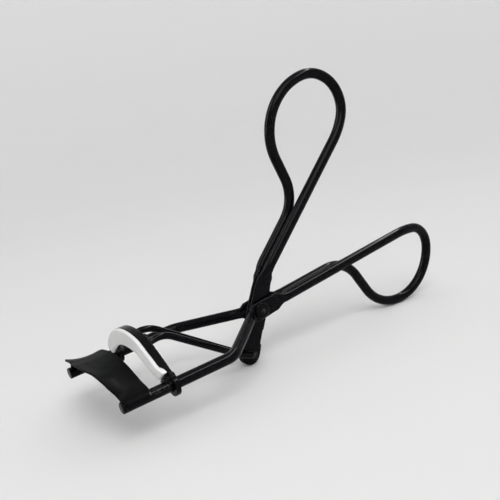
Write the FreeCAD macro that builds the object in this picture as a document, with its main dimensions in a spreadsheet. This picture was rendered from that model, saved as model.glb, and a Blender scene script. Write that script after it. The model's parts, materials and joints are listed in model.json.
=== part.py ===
import FreeCAD, Part
import Sketcher
import math
import os
from FreeCAD import Placement, Rotation, Vector

# Eyelash curler: two bent-wire handles crossing at a rivet, guide rods that carry an arched curling
# plate, and a sliding bar with a soft pad that two push rods drive against the plate.
#
# The pieces are drawn in the mechanism frame: origin on the rivet's axis, +X along the guide rods
# towards the handles, +Y away from the near side, +Z away from the handle that the tool stands on.
# Every piece then gets the same Placement, which stands the tool on a level surface.

SIZES = [
    ("wire_dia", 2.6, "wire of the frame and of the lever"),
    ("push_dia", 1.6, "wire of the push rods"),
    ("rod_spacing", 29.1, "between the axes of the guide rods"),
    ("rod_drop", 2.04, "guide rods below the rivet's axis"),
    ("rod_front", 46.1, "front end of the guide rods, ahead of the rivet"),
    ("rod_bend", 17.4, "where the rods bend in towards the rivet"),
    ("rod_bend_radius", 5.0, "radius of that bend"),
    ("flat_thick", 0.95, "flattened wire at the rivet"),
    ("flat_gap", 0.15, "half the gap between the lever's two flats"),
    ("side_gap", 0.15, "between a lever flat and a frame flat"),
    ("frame_flat", 2.5, "half width of the frame's flats at the rivet"),
    ("frame_nose", 3.9, "front of the frame's flats, ahead of the rivet"),
    ("frame_nose_drop", 0.45, "that front end below the rivet's axis"),
    ("frame_nose_radius", 1.35, "half width of the flats at that front end"),
    ("frame_neck", 4.6, "where the flats begin to narrow, behind the rivet"),
    ("frame_neck_width", 2.3, "half width of the flats there"),
    ("frame_root", 8.0, "where the frame handle's round strands begin, behind the rivet"),
    ("landing", 1.8, "where the rods' ends land on the flats, ahead of the rivet"),
    ("frame_strand", 1.35, "half the pitch of the frame handle's two strands"),
    ("frame_angle", 5.5, "frame handle above the line of the rods, degrees"),
    ("frame_line", -0.2, "frame handle's line from the rivet's axis"),
    ("lever_flat", 2.6, "half width of the lever's flats at the rivet"),
    ("lever_kink", 4.6, "where the lever's flats turn into its strands, behind the rivet"),
    ("lever_kink_rise", 9.7, "that turn above the rivet"),
    ("lever_neck_width", 2.1, "half width of the lever's flats near that turn"),
    ("lever_strand", 1.73, "half the pitch of the lever handle's two strands"),
    ("lever_angle", 43.9, "lever handle above the line of the rods, degrees"),
    ("lever_line", 3.78, "lever handle's line from the rivet's axis"),
    ("arm_length", 11.67, "rivet to push-rod hole"),
    ("arm_lean", 25.35, "lever arm from square to the rods, degrees"),
    ("arm_waist", 2.15, "half width of the arm's waist"),
    ("arm_waist_at", 5.9, "rivet to the upper end of the waist"),
    ("arm_waist_end", 8.0, "rivet to the lower end of the waist"),
    ("arm_end", 2.9, "radius of the arm's rounded end"),
    ("running_gap", 0.05, "radial clearance of a hinge"),
    ("rivet_radius", 1.1, "shank of the rivet"),
    ("rivet_head", 2.05, "radius of the rivet's heads"),
    ("rivet_dome", 0.9, "height of the rivet's heads"),
    ("hook_radius", 0.95, "bend of a push rod's hook"),
    ("hook_gap", 0.1, "between a push rod and the lever arm beside it"),
    ("knee_front", 8.9, "lower bend of the push rods, ahead of the rivet"),
    ("knee_drop", 8.65, "that bend below the rivet's axis"),
    ("knee_radius", 6.0, "radius of that bend"),
    ("crest_front", 28.4, "upper bend of the push rods, ahead of the rivet"),
    ("crest_rise", 5.35, "that bend above the rivet's axis"),
    ("crest_radius", 7.0, "radius of that bend"),
    ("tip_radius", 2.5, "last bend of the push rods, at the slide bar"),
    ("bar_back", 33.3, "back face of the slide bar, ahead of the rivet"),
    ("bar_depth", 2.1, "slide bar along the rods"),
    ("bar_radius", 18.4, "outer radius of the slide bar's arch"),
    ("bar_center", 10.35, "centre of that radius, below the rivet's axis"),
    ("bar_inner_radius", 16.3, "inner radius of the slide bar's arch"),
    ("bar_inner_center", 12.3, "centre of that radius, below the rivet's axis"),
    ("bar_wall", 0.55, "walls of the slide bar's channel"),
    ("bar_web", 0.8, "back of the slide bar's channel"),
    ("bar_foot", 0.5, "feet of the slide bar's arch, below the rivet's axis"),
    ("eye_radius", 2.25, "outer radius of the slide bar's eyes"),
    ("eye_front", 33.75, "front face of the eyes, ahead of the rivet"),
    ("eye_length", 0.9, "eyes along the rods"),
    ("eye_gap", 0.1, "radial clearance of the eyes on the rods"),
    ("pad_proud", 0.9, "head of the pad ahead of the slide bar, in the middle"),
    ("pad_inset", 0.05, "head of the pad inside the slide bar's outline"),
    ("pad_margin", 3.0, "how far the cut that bows the pad runs past it"),
    ("bow_radius", 160.0, "bow of the pad's face and of the curling edge, seen from above"),
    ("link_side", 4.2, "push-rod hole in the slide bar, from the middle"),
    ("link_height", 4.95, "push-rod hole in the slide bar, above the rivet"),
    ("link_gap", 0.5, "radial clearance of that hole"),
    ("link_boss", 1.95, "radius of the boss around that hole"),
    ("link_depth", 1.2, "length of that boss, behind the slide bar"),
    ("link_reach", 0.3, "push rod beyond the slide bar's back face"),
    ("visor_rear", 39.95, "middle of the curling edge, ahead of the rivet"),
    ("visor_front", 48.55, "middle of the curling plate's front edge"),
    ("visor_bow", 44.0, "bow of that front edge, seen from above"),
    ("visor_thick", 0.5, "sheet of the curling plate"),
    ("visor_hollow", 0.45, "how far the sheet sags between its two edges"),
    ("curl_front", 45.9, "front end of the sheet where it laps over the rods"),
    ("curl_rear", 39.25, "rear end of the sheet where it laps over the rods"),
    ("curl_thick", 0.35, "sheet where it laps over the rods"),
    ("middle", 7.525, "middle of the whole length, behind the rivet as the tool stands"),
]

# Handle outlines. A handle is one strand that runs straight out from the rivet, turns through three
# arcs and comes back over a reverse arc to lie beside itself: the straight's length, three arcs as
# (radius, degrees), then the reverse radius.
FRAME_LOOP = (50.4, (23.4, 15.3), (7.25, 83.3), (13.0, 147.9), 10.6)
LEVER_LOOP = (48.2, (21.2, 18.2), (8.65, 126.1), (14.7, 99.7), 10.2)
ARC_STEP = 50.0

# The sheet's lap over a rod, in degrees from the rod's top towards its outer side.
LAP_DEGREES = (-15, 80)

# Half width of a flat, over the wire's radius, where the flat runs into the round wire.
FLAT_SPREAD = 1.08

# Sections of the curling plate's top, as (side, height) of one half: a round arch behind the curling
# edge, and a flatter one with steeper flanks ahead of the front edge.
REAR_ARCH = ((0.0, 4.8), (5.0, 4.4), (9.8, 2.85), (12.8, 0.95), (14.9, -0.55))
FRONT_ARCH = ((0.0, 4.9), (5.0, 4.98), (8.2, 4.9), (11.4, 3.95), (13.3, 2.1), (14.9, -0.45))


def make_sheet(doc):
    sheet = doc.addObject("Spreadsheet::Sheet", "Sizes")
    for row, (name, number, meaning) in enumerate(SIZES, start=1):
        sheet.set("A%d" % row, meaning)
        sheet.set("B%d" % row, str(number))
        sheet.setAlias("B%d" % row, name)
    doc.recompute()
    return sheet


doc = FreeCAD.newDocument("EyelashCurler")
sheet = make_sheet(doc)
S = {name: float(sheet.get(name)) for name, number, meaning in SIZES}

WIRE = S["wire_dia"] / 2
PUSH = S["push_dia"] / 2
ROD_Y = S["rod_spacing"] / 2
ROD_Z = -S["rod_drop"]
LEVER_IN = S["flat_gap"]
LEVER_OUT = LEVER_IN + S["flat_thick"]
FRAME_IN = LEVER_OUT + S["side_gap"]
FRAME_OUT = FRAME_IN + S["flat_thick"]
FRAME_ANGLE = math.radians(S["frame_angle"])
LEVER_ANGLE = math.radians(S["lever_angle"])
ARM_LEAN = math.radians(S["arm_lean"])
ARM_AXIS = Vector(-math.sin(ARM_LEAN), 0, -math.cos(ARM_LEAN))
ARM_HOLE = ARM_AXIS * S["arm_length"]


# ---------------------------------------------------------------- wire and sheet helpers

def rounded_path(points, radii):
    """Straight runs through the points, with a tangent arc of the given radius at each inner point."""
    edges = []
    start = points[0]
    for before, corner, after, radius in zip(points, points[1:], points[2:], radii):
        back = (before - corner).normalize()
        ahead = (after - corner).normalize()
        half_turn = (math.pi - back.getAngle(ahead)) / 2
        reach = radius * math.tan(half_turn)
        arc_start = corner + back * reach
        arc_end = corner + ahead * reach
        inward = (back + ahead).normalize()
        arc_middle = corner + inward * (radius / math.cos(half_turn) - radius)
        if (arc_start - start).Length > 1e-3:
            edges.append(Part.LineSegment(start, arc_start).toShape())
        edges.append(Part.Arc(arc_start, arc_middle, arc_end).toShape())
        start = arc_end
    edges.append(Part.LineSegment(start, points[-1]).toShape())
    return Part.Wire(Part.__sortEdges__(edges))


def bent_wire(points, radii, radius):
    """A round wire bent along a path."""
    path = rounded_path(points, radii)
    heading = points[1] - points[0]
    section = Part.Wire(Part.Circle(points[0], heading, radius).toShape())
    return path.makePipeShell([section], True, False)


def flat_strip(center_a, radius_a, center_b, radius_b, y_low, y_high):
    """A flat bar in an XZ plane: the outline around two circles, from y_low to y_high."""
    length = (center_b - center_a).Length
    along = (center_b - center_a).normalize()
    across = Vector(-along.z, 0, along.x)
    lean = math.asin((radius_a - radius_b) / length)
    left = along * math.sin(lean) + across * math.cos(lean)
    right = along * math.sin(lean) - across * math.cos(lean)
    edges = [
        Part.LineSegment(center_a + left * radius_a, center_b + left * radius_b).toShape(),
        Part.Arc(center_b + left * radius_b, center_b + along * radius_b,
                 center_b + right * radius_b).toShape(),
        Part.LineSegment(center_b + right * radius_b, center_a + right * radius_a).toShape(),
        Part.Arc(center_a + right * radius_a, center_a - along * radius_a,
                 center_a + left * radius_a).toShape(),
    ]
    face = Part.Face(Part.Wire(edges))
    face.translate(Vector(0, y_low, 0))
    return face.extrude(Vector(0, y_high - y_low, 0))


def flat_chain(stations, y_low, y_high):
    """Flat strips one after another through stations of (centre, half width)."""
    strips = []
    for (center_a, radius_a), (center_b, radius_b) in zip(stations, stations[1:]):
        strips.append(flat_strip(center_a, radius_a, center_b, radius_b, y_low, y_high))
    return strips


def mirrored(shapes):
    """The same shapes on the other side of the XZ plane."""
    return [shape.mirror(Vector(0, 0, 0), Vector(0, 1, 0)) for shape in shapes]


def fused(shapes):
    return shapes[0].fuse(shapes[1:]).removeSplitter()


def along_y(center, radius, y_low, y_high):
    return Part.makeCylinder(radius, y_high - y_low, Vector(center.x, y_low, center.z), Vector(0, 1, 0))


def loop_corners(loop, strand_start):
    """Corner points (along, across) and radii of a handle's outline in its own plane."""
    straight, *arcs, reverse_radius = loop
    corners = []
    radii = []
    heading = 0.0
    here = (straight, 0.0)
    for radius, degrees in arcs:
        steps = math.ceil(degrees / ARC_STEP)
        turn = math.radians(degrees / steps)
        reach = radius * math.tan(turn / 2)
        for step in range(steps):
            corner = (here[0] + reach * math.cos(heading), here[1] + reach * math.sin(heading))
            heading += turn
            here = (corner[0] + reach * math.cos(heading), corner[1] + reach * math.sin(heading))
            corners.append(corner)
            radii.append(radius)
    run_back = -here[1] / math.sin(heading)
    corners.append((here[0] + run_back * math.cos(heading), 0.0))
    radii.append(reverse_radius)
    return [(strand_start, 0.0)] + corners + [(strand_start, 0.0)], radii


def handle(loop, strand_start, angle, line, half_pitch, bulge):
    """One bent wire from the near strand to the far one; bulge is +1 upwards and -1 downwards."""
    corners, radii = loop_corners(loop, strand_start)
    along = Vector(math.cos(angle), 0, math.sin(angle))
    across = Vector(-math.sin(angle), 0, math.cos(angle))
    crossing_steps = len(corners) - 4
    points = []
    for index, (u, v) in enumerate(corners):
        share = min(max((index - 1) / crossing_steps, 0.0), 1.0)
        side = half_pitch * (2 * share - 1)
        points.append(along * u + across * (line + bulge * v) + Vector(0, side, 0))
    return bent_wire(points, radii, WIRE)


def shaped(name, shape):
    """A piece whose form is swept or lofted in space, so that its Shape is set here."""
    piece = doc.addObject("Part::Feature", name)
    piece.Shape = shape
    return piece


# ---------------------------------------------------------------- frame, lever and push rods

def frame_wire():
    """Guide rods, flats at the rivet and the finger loop, bent from one wire."""
    nose = Vector(-S["frame_nose"], 0, -S["frame_nose_drop"])
    landing = Vector(-S["landing"], -(FRAME_IN + FRAME_OUT) / 2, 0)
    rod_end = Vector(-S["rod_front"], -ROD_Y, ROD_Z)
    rod_corner = Vector(-S["rod_bend"], -ROD_Y, ROD_Z)
    wire_start = landing + (rod_corner - landing).normalize() * S["flat_thick"] * 2
    rod = bent_wire([rod_end, rod_corner, wire_start], [S["rod_bend_radius"]], WIRE)
    direction = Vector(math.cos(FRAME_ANGLE), 0, math.sin(FRAME_ANGLE))
    strand_root = direction * (S["frame_root"] + WIRE) + Vector(0, 0, S["frame_line"])
    stations = [
        (nose, S["frame_nose_radius"]),
        (Vector(0, 0, 0), S["frame_flat"]),
        (direction * S["frame_neck"], S["frame_neck_width"]),
        (strand_root, WIRE * FLAT_SPREAD),
    ]
    flats = flat_chain(stations, -FRAME_OUT, -FRAME_IN)
    loop = handle(FRAME_LOOP, S["frame_root"], FRAME_ANGLE, S["frame_line"], S["frame_strand"], -1)
    side = [rod] + flats
    shape = fused(side + mirrored(side) + [loop])
    return shape.cut(along_y(Vector(0, 0, 0), S["rivet_radius"], -2 * FRAME_OUT, 2 * FRAME_OUT))


def lever_wire():
    """Thumb loop, flats at the rivet and the two arms that drive the push rods, bent from one wire."""
    kink = Vector(S["lever_kink"], 0, S["lever_kink_rise"])
    along = Vector(math.cos(LEVER_ANGLE), 0, math.sin(LEVER_ANGLE))
    across = Vector(-math.sin(LEVER_ANGLE), 0, math.cos(LEVER_ANGLE))
    strand_start = kink.dot(along)
    strand_root = along * (strand_start + WIRE) + across * S["lever_line"]
    stations = [
        (strand_root, WIRE * FLAT_SPREAD),
        (kink * 0.75, S["lever_neck_width"]),
        (kink * 0.4, (S["lever_neck_width"] + 2 * S["lever_flat"]) / 3),
        (Vector(0, 0, 0), S["lever_flat"]),
        (ARM_AXIS * S["arm_waist_at"], S["arm_waist"]),
        (ARM_AXIS * S["arm_waist_end"], S["arm_waist"] * FLAT_SPREAD),
        (ARM_HOLE, S["arm_end"]),
    ]
    flats = flat_chain(stations, -LEVER_OUT, -LEVER_IN)
    loop = handle(LEVER_LOOP, strand_start, LEVER_ANGLE, S["lever_line"], S["lever_strand"], 1)
    shape = fused(flats + mirrored(flats) + [loop])
    bore = S["rivet_radius"] + S["running_gap"]
    holes = [
        along_y(Vector(0, 0, 0), bore, -2 * LEVER_OUT, 2 * LEVER_OUT),
        along_y(ARM_HOLE, PUSH + S["running_gap"], -2 * LEVER_OUT, 2 * LEVER_OUT),
    ]
    return shape.cut(holes)


def push_rod(side):
    """One push rod, hooked through a lever arm and ending in the slide bar; side is -1 or +1."""
    arm_side = LEVER_OUT + S["hook_gap"] + PUSH
    boss_x = -S["bar_back"] + S["link_depth"]
    slope = (S["link_side"] - arm_side) / (ARM_HOLE.x - boss_x)

    def at(x, z):
        return Vector(x, side * (arm_side + slope * (ARM_HOLE.x - x)), z)

    pin_end = Vector(ARM_HOLE.x, side * (LEVER_IN + S["running_gap"]), ARM_HOLE.z)
    knee = at(-S["knee_front"], -S["knee_drop"])
    crest = at(-S["crest_front"], S["crest_rise"])
    entry = at(boss_x, S["link_height"])
    tip = Vector(-S["bar_back"] - S["link_reach"], entry.y, entry.z)
    points = [pin_end, at(ARM_HOLE.x, ARM_HOLE.z), knee, crest, entry, tip]
    radii = [S["hook_radius"], S["knee_radius"], S["crest_radius"], S["tip_radius"]]
    return bent_wire(points, radii, PUSH)


# ---------------------------------------------------------------- bodies made from sketches

def origin_plane(body, role):
    for feature in body.Origin.OriginFeatures:
        if feature.Role == role:
            return feature
    raise ValueError("no plane " + role)


def new_body(name):
    return doc.addObject("PartDesign::Body", name)


def new_sketch(body, name, role, offset=None):
    """A sketch on one of the body's own planes, moved along the plane's normal by an expression."""
    sketch = body.newObject("Sketcher::SketchObject", name)
    sketch.AttachmentSupport = (origin_plane(body, role), [""])
    sketch.MapMode = "FlatFace"
    if offset:
        sketch.setExpression("AttachmentOffset.Base.z", offset)
    return sketch


def constrain(sketch, name, expression, *constraint):
    """Add a dimension constraint and bind it to the sheet."""
    index = sketch.addConstraint(Sketcher.Constraint(*constraint))
    sketch.renameConstraint(index, name)
    sketch.setExpression("Constraints." + name, expression)


def arch_sketch(body, name, offset, outer, inner, foot):
    """An arch in the YZ plane: outer and inner are (radius, drop of centre, their expressions)."""
    sketch = new_sketch(body, name, "YZ_Plane", offset)
    ends = []
    for radius, drop, *_ in (outer, inner):
        half = math.sqrt(radius ** 2 - (drop - foot[0]) ** 2)
        start = math.atan2(drop - foot[0], half)
        circle = Part.Circle(Vector(0, -drop, 0), Vector(0, 0, 1), radius)
        sketch.addGeometry(Part.ArcOfCircle(circle, start, math.pi - start))
        ends.append(half)
    feet = ((ends[0], ends[1]), (-ends[0], -ends[1]))
    for outer_y, inner_y in feet:
        sketch.addGeometry(Part.LineSegment(Vector(outer_y, -foot[0], 0), Vector(inner_y, -foot[0], 0)))
    for line, arc_end in ((2, 1), (3, 2)):
        sketch.addConstraint(Sketcher.Constraint("Coincident", 0, arc_end, line, 1))
        sketch.addConstraint(Sketcher.Constraint("Coincident", 1, arc_end, line, 2))
        sketch.addConstraint(Sketcher.Constraint("Horizontal", line))
    for arc, (radius, drop, radius_text, drop_text) in enumerate((outer, inner)):
        sketch.addConstraint(Sketcher.Constraint("PointOnObject", arc, 3, -2))
        constrain(sketch, "radius%d" % arc, radius_text, "Radius", arc, radius)
        constrain(sketch, "drop%d" % arc, drop_text, "DistanceY", arc, 3, -1, 1, drop)
    for line, name_end in ((2, "foot_right"), (3, "foot_left")):
        constrain(sketch, name_end, foot[1], "DistanceY", line, 1, -1, 1, foot[0])
    return sketch


def circles_sketch(body, name, offset, centers, center_texts, radius, radius_text):
    """Two circles side by side in the YZ plane, mirrored about the middle."""
    sketch = new_sketch(body, name, "YZ_Plane", offset)
    (half, height), (half_text, height_text) = centers, center_texts
    for side in (1, -1):
        circle = Part.Circle(Vector(side * half, height, 0), Vector(0, 0, 1), radius)
        index = sketch.addGeometry(circle)
        suffix = "_right" if side > 0 else "_left"
        constrain(sketch, "radius" + suffix, radius_text, "Radius", index, radius)
        across = (-1, 1, index, 3) if side > 0 else (index, 3, -1, 1)
        constrain(sketch, "half" + suffix, half_text, "DistanceX", *across, half)
        upright = (-1, 1, index, 3) if height > 0 else (index, 3, -1, 1)
        constrain(sketch, "height" + suffix, height_text, "DistanceY", *upright, abs(height))
    return sketch


def pad_feature(body, name, sketch, length):
    feature = body.newObject("PartDesign::Pad", name)
    feature.Profile = sketch
    feature.setExpression("Length", length)
    return feature


def pocket_feature(body, name, sketch, length, reverse, side_type="One side"):
    """A pocket; reverse turns it towards the sketch's normal."""
    doc.recompute()
    before = body.Shape.Volume
    feature = body.newObject("PartDesign::Pocket", name)
    feature.Profile = sketch
    feature.SideType = side_type
    feature.Reversed = reverse
    feature.setExpression("Length", length)
    doc.recompute()
    if feature.Shape.Volume >= before:
        raise RuntimeError(name + " cuts nothing")
    return feature


def bow_pocket(body, crown_front, crown_text):
    """Cut a body's front face to the bow that the pad and the curling edge share."""
    sketch = new_sketch(body, "bow", "XY_Plane")
    radius = S["bow_radius"]
    margin = S["pad_margin"]
    reach = ROD_Y + margin
    ahead = -crown_front - margin
    spread = math.asin(reach / radius)
    center = Vector(radius - crown_front, 0, 0)
    circle = Part.Circle(center, Vector(0, 0, 1), radius)
    sketch.addGeometry(Part.ArcOfCircle(circle, math.pi - spread, math.pi + spread))
    corner_x = center.x - radius * math.cos(spread)
    corners = [Vector(corner_x, -reach, 0), Vector(ahead, -reach, 0), Vector(ahead, reach, 0),
               Vector(corner_x, reach, 0)]
    for start, end in zip(corners, corners[1:]):
        sketch.addGeometry(Part.LineSegment(start, end))
    for first, last, second, start in ((0, 2, 1, 1), (1, 2, 2, 1), (2, 2, 3, 1), (3, 2, 0, 1)):
        sketch.addConstraint(Sketcher.Constraint("Coincident", first, last, second, start))
    sketch.addConstraint(Sketcher.Constraint("PointOnObject", 0, 3, -1))
    sketch.addConstraint(Sketcher.Constraint("Horizontal", 1))
    sketch.addConstraint(Sketcher.Constraint("Vertical", 2))
    sketch.addConstraint(Sketcher.Constraint("Horizontal", 3))
    constrain(sketch, "radius", "Sizes.bow_radius", "Radius", 0, radius)
    constrain(sketch, "middle", "Sizes.bow_radius - (" + crown_text + ")", "DistanceX",
              -1, 1, 0, 3, center.x)
    constrain(sketch, "ahead", crown_text + " + Sizes.pad_margin", "DistanceX", 2, 1, -1, 1, -ahead)
    constrain(sketch, "reach", "Sizes.rod_spacing + 2 * Sizes.pad_margin", "DistanceY",
              2, 1, 2, 2, 2 * reach)
    pocket_feature(body, "bow_cut", sketch, "4 * Sizes.bar_radius", False, "Symmetric")


def arch_sizes(radius, center, less=0.0):
    """Radius and centre drop of an arch, and the expressions that give them."""
    radius_text = "Sizes." + radius
    if less:
        radius_text += " %+g * Sizes.bar_wall" % less
    return S[radius] + less * S["bar_wall"], S[center], radius_text, "Sizes." + center


def slide_bar():
    """Arched channel that holds the pad, with an eye on each guide rod and a hole for each push rod."""
    body = new_body("slide_bar")
    bar_front = "-Sizes.bar_back - Sizes.bar_depth"
    foot = (S["bar_foot"], "Sizes.bar_foot")
    outer = arch_sizes("bar_radius", "bar_center")
    inner = arch_sizes("bar_inner_radius", "bar_inner_center")
    arch = arch_sketch(body, "bar_arch", bar_front, outer, inner, foot)
    pad_feature(body, "bar_block", arch, "Sizes.bar_depth")
    rod = ((ROD_Y, ROD_Z), ("Sizes.rod_spacing / 2", "Sizes.rod_drop"))
    eyes = circles_sketch(body, "eye_rings", "-Sizes.eye_front", *rod,
                          S["eye_radius"], "Sizes.eye_radius")
    pad_feature(body, "eyes", eyes, "Sizes.eye_length")
    link = ((S["link_side"], S["link_height"]), ("Sizes.link_side", "Sizes.link_height"))
    bosses = circles_sketch(body, "boss_rings", "-Sizes.bar_back - Sizes.bar_web / 2", *link,
                            S["link_boss"], "Sizes.link_boss")
    pad_feature(body, "link_bosses", bosses, "Sizes.link_depth + Sizes.bar_web / 2")
    groove_outer = arch_sizes("bar_radius", "bar_center", -1)
    groove_inner = arch_sizes("bar_inner_radius", "bar_inner_center", 1)
    groove = arch_sketch(body, "groove_arch", bar_front, groove_outer, groove_inner, foot)
    pocket_feature(body, "groove", groove, "Sizes.bar_depth - Sizes.bar_web", True)
    bores = circles_sketch(body, "rod_bores", bar_front, *rod,
                           WIRE + S["eye_gap"], "Sizes.wire_dia / 2 + Sizes.eye_gap")
    pocket_feature(body, "rod_holes", bores, "Sizes.bar_depth + Sizes.link_depth", True)
    links = circles_sketch(body, "link_bores", bar_front, *link,
                           PUSH + S["link_gap"], "Sizes.push_dia / 2 + Sizes.link_gap")
    pocket_feature(body, "link_holes", links, "Sizes.bar_depth + 2 * Sizes.link_depth", True)
    return body


def lash_pad():
    """Silicone pad: a root in the slide bar's channel and a wider head that covers the channel's rims."""
    body = new_body("lash_pad")
    foot = (S["bar_foot"], "Sizes.bar_foot")
    bar_front = "-Sizes.bar_back - Sizes.bar_depth"
    root = arch_sketch(body, "root_arch", bar_front, arch_sizes("bar_radius", "bar_center", -1),
                       arch_sizes("bar_inner_radius", "bar_inner_center", 1), foot)
    pad_feature(body, "root", root, "Sizes.bar_depth - Sizes.bar_web")
    outer = (S["bar_radius"] - S["pad_inset"], S["bar_center"],
             "Sizes.bar_radius - Sizes.pad_inset", "Sizes.bar_center")
    inner = (S["bar_inner_radius"] + S["pad_inset"], S["bar_inner_center"],
             "Sizes.bar_inner_radius + Sizes.pad_inset", "Sizes.bar_inner_center")
    head = arch_sketch(body, "head_arch", bar_front + " - Sizes.pad_proud", outer, inner, foot)
    pad_feature(body, "head", head, "Sizes.pad_proud")
    face = S["bar_back"] + S["bar_depth"] + S["pad_proud"]
    bow_pocket(body, face, "Sizes.bar_back + Sizes.bar_depth + Sizes.pad_proud")
    return body


def pivot_rivet():
    """Rivet through the four flats, with a domed head at each end."""
    body = new_body("pivot_rivet")
    sketch = new_sketch(body, "rivet_profile", "XY_Plane")
    grip = FRAME_OUT
    grip_text = "Sizes.flat_gap + 2 * Sizes.flat_thick + Sizes.side_gap"
    shank = S["rivet_radius"]
    head = S["rivet_head"]
    dome = S["rivet_dome"]
    dome_radius = (head ** 2 + dome ** 2) / (2 * dome)
    corners = [Vector(0, 0, 0), Vector(shank, 0, 0), Vector(shank, grip, 0), Vector(head, grip, 0),
               Vector(0, grip + dome, 0)]
    for start, end in zip(corners[:3], corners[1:4]):
        sketch.addGeometry(Part.LineSegment(start, end))
    dome_center = Vector(0, grip + dome - dome_radius, 0)
    circle = Part.Circle(dome_center, Vector(0, 0, 1), dome_radius)
    edge_angle = math.atan2(grip - dome_center.y, head)
    sketch.addGeometry(Part.ArcOfCircle(circle, edge_angle, math.pi / 2))
    sketch.addGeometry(Part.LineSegment(corners[4], corners[0]))
    for first, last, second in ((0, 2, 1), (1, 2, 2), (2, 2, 3), (3, 2, 4), (4, 2, 0)):
        sketch.addConstraint(Sketcher.Constraint("Coincident", first, last, second, 1))
    sketch.addConstraint(Sketcher.Constraint("Coincident", 0, 1, -1, 1))
    sketch.addConstraint(Sketcher.Constraint("Horizontal", 0))
    sketch.addConstraint(Sketcher.Constraint("Vertical", 1))
    sketch.addConstraint(Sketcher.Constraint("Horizontal", 2))
    sketch.addConstraint(Sketcher.Constraint("Vertical", 4))
    sketch.addConstraint(Sketcher.Constraint("PointOnObject", 3, 3, -2))
    constrain(sketch, "shank", "Sizes.rivet_radius", "DistanceX", 0, 1, 0, 2, shank)
    constrain(sketch, "grip", grip_text, "DistanceY", 1, 1, 1, 2, grip)
    constrain(sketch, "head", "Sizes.rivet_head - Sizes.rivet_radius", "DistanceX", 2, 1, 2, 2,
              head - shank)
    constrain(sketch, "dome", "Sizes.rivet_dome", "DistanceY", 3, 1, 3, 2, dome)
    turned = body.newObject("PartDesign::Revolution", "rivet_half")
    turned.Profile = sketch
    turned.ReferenceAxis = (sketch, ["V_Axis"])
    turned.Angle = 360
    doc.recompute()
    both = body.newObject("PartDesign::Mirrored", "rivet_both")
    both.Originals = [turned]
    both.MirrorPlane = (origin_plane(body, "XZ_Plane"), [""])
    body.Tip = both
    return body


# ---------------------------------------------------------------- curling plate

def arch_section(half_points, x, lower=0.0):
    """The sheet's section at a given x: top and bottom curves through the half points and their mirror
    images, and the two ends that join them."""
    edges = []
    for drop in (lower, lower + S["visor_thick"]):
        points = [Vector(x, -y, z - drop) for y, z in reversed(half_points[1:])]
        points += [Vector(x, y, z - drop) for y, z in half_points]
        curve = Part.BSplineCurve()
        curve.interpolate(points)
        edges.append(curve.toShape())
    y_end, z_end = half_points[-1]
    for side in (1, -1):
        top = Vector(x, side * y_end, z_end - lower)
        edges.append(Part.LineSegment(top, top - Vector(0, 0, S["visor_thick"])).toShape())
    return Part.Wire(Part.__sortEdges__(edges))


def arch_height(half_points, y):
    """Height of an arch at y, straight between its points."""
    for (y_a, z_a), (y_b, z_b) in zip(half_points, half_points[1:]):
        if y <= y_b:
            return z_a + (z_b - z_a) * (y - y_a) / (y_b - y_a)
    return half_points[-1][1]


def plan_outline():
    """The plate's outline from above: two bowed edges that run out to the rods."""
    half_width = REAR_ARCH[-1][0]
    rear_crown = Vector(-S["visor_rear"], 0, 0)
    front_crown = Vector(-S["visor_front"], 0, 0)
    corners = []
    for crown, radius in ((rear_crown, S["bow_radius"]), (front_crown, S["visor_bow"])):
        sagitta = radius - math.sqrt(radius ** 2 - half_width ** 2)
        corners.append(Vector(crown.x + sagitta, half_width, 0))
    rear_corner, front_corner = corners
    flip = Vector(0, 2 * half_width, 0)
    edges = [
        Part.Arc(rear_corner - flip, rear_crown, rear_corner).toShape(),
        Part.LineSegment(rear_corner, front_corner).toShape(),
        Part.Arc(front_corner, front_crown, front_corner - flip).toShape(),
        Part.LineSegment(front_corner - flip, rear_corner - flip).toShape(),
    ]
    return Part.Face(Part.Wire(edges))


def rod_lap(side):
    """The sheet's lap over the top and the outer side of one rod."""
    x_low = -S["curl_front"]

    def at(radius, degrees):
        angle = math.radians(degrees)
        return Vector(x_low, side * (ROD_Y + radius * math.sin(angle)), ROD_Z + radius * math.cos(angle))

    start, end = LAP_DEGREES
    middle = (start + end) / 2
    outer = WIRE + S["curl_thick"]
    edges = [
        Part.Arc(at(outer, start), at(outer, middle), at(outer, end)).toShape(),
        Part.LineSegment(at(outer, end), at(WIRE, end)).toShape(),
        Part.Arc(at(WIRE, end), at(WIRE, middle), at(WIRE, start)).toShape(),
        Part.LineSegment(at(WIRE, start), at(outer, start)).toShape(),
    ]
    face = Part.Face(Part.Wire(edges))
    return face.extrude(Vector(S["curl_front"] - S["curl_rear"], 0, 0))


def curling_plate():
    """Arched sheet whose rear edge curls the lashes and whose ends lap over the guide rods."""
    rear_x = -S["curl_rear"] + S["visor_thick"] / 5
    front_x = -S["visor_front"] - S["visor_thick"] / 5
    middle_arch = [(y, (arch_height(REAR_ARCH, y) + arch_height(FRONT_ARCH, y)) / 2)
                   for y, z in FRONT_ARCH]
    sections = [
        arch_section(REAR_ARCH, rear_x),
        arch_section(middle_arch, (rear_x + front_x) / 2, S["visor_hollow"]),
        arch_section(FRONT_ARCH, front_x),
    ]
    sheet_solid = Part.makeLoft(sections, True, False)
    reach = S["visor_front"]
    outline = plan_outline()
    outline.translate(Vector(0, 0, -reach))
    trimmed = sheet_solid.common(outline.extrude(Vector(0, 0, 2 * reach)))
    shape = fused([trimmed, rod_lap(1), rod_lap(-1)])
    rods = [Part.makeCylinder(WIRE, reach, Vector(0, side * ROD_Y, ROD_Z), Vector(-1, 0, 0))
            for side in (1, -1)]
    return shape.cut(rods)


# ---------------------------------------------------------------- assembly

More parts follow.
